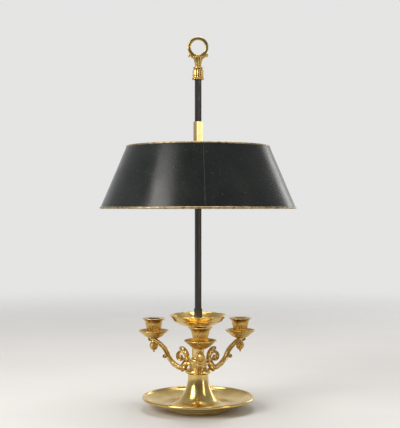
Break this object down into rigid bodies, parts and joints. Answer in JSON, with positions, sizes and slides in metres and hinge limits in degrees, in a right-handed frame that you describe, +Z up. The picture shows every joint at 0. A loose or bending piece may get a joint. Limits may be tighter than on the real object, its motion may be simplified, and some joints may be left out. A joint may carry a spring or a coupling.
{
  "type": "bouillotte lamp",
  "caption": "Table lamp for candles: dish foot, scroll arms with cups and wax pans, and a conical metal shade that slides on a square rod.",
  "frame": {"origin": "on the table under the rod, at the middle of the bounding box", "axes": "+Z up along the rod, -Y towards the front candle arm"},
  "size_m": [0.343, 0.343, 0.6499],
  "materials": {
    "gilt_bronze": "polished",
    "black_iron": "satin",
    "steel": "satin",
    "black_tole": "satin",
    "rim_brass": "satin",
    "sleeve_brass": "satin"
  },
  "bodies": {
    "base": {"base_dish": "gilt_bronze", "foot_ring": "gilt_bronze", "trumpet_foot": "gilt_bronze", "collar_ring": "gilt_bronze", "drum": "gilt_bronze", "neck": "gilt_bronze", "drip_tray": "gilt_bronze", "finial_cup": "gilt_bronze", "ring_handle": "gilt_bronze", "arm_front": "gilt_bronze", "arm_left": "gilt_bronze", "arm_right": "gilt_bronze", "pan_front": "gilt_bronze", "pan_left": "gilt_bronze", "pan_right": "gilt_bronze", "cup_front": "gilt_bronze", "cup_left": "gilt_bronze", "cup_right": "gilt_bronze", "pendant_front": "gilt_bronze", "pendant_left": "gilt_bronze", "pendant_right": "gilt_bronze", "rod": "black_iron", "rod_ferrule": "black_iron", "base_washer": "steel", "base_nut": "steel", "arm_screws": "steel", "cup_studs": "steel"},
    "shade_carriage": {"shade_cone": "black_tole", "shade_bottom_rim": "rim_brass", "shade_top_rim": "rim_brass", "sleeve": "sleeve_brass", "spider": "sleeve_brass"},
    "grip_pad": {"grip_pad": "sleeve_brass"},
    "thumb_screw": {"thumb_screw": "sleeve_brass"}
  },
  "joints": [
    {"name": "shade_slide", "type": "slide", "parent": "base", "child": "shade_carriage", "axis": [0, 0, 1], "range_m": [-0.2532, 0.0728]},
    {"name": "pad_press", "type": "slide", "parent": "shade_carriage", "child": "grip_pad", "axis": [0.4848, -0.8746, 0], "range_m": [0, 0.0019]},
    {"name": "screw_turn", "type": "hinge", "parent": "grip_pad", "child": "thumb_screw", "pos_m": [0.0097, -0.01749, 0.436], "axis": [0.4848, -0.8746, 0], "range_deg": [0, 720]}
  ],
  "couplings": [
    {"joint": "pad_press", "follows": "screw_turn", "m_per_rad": 0.00011141}
  ]
}
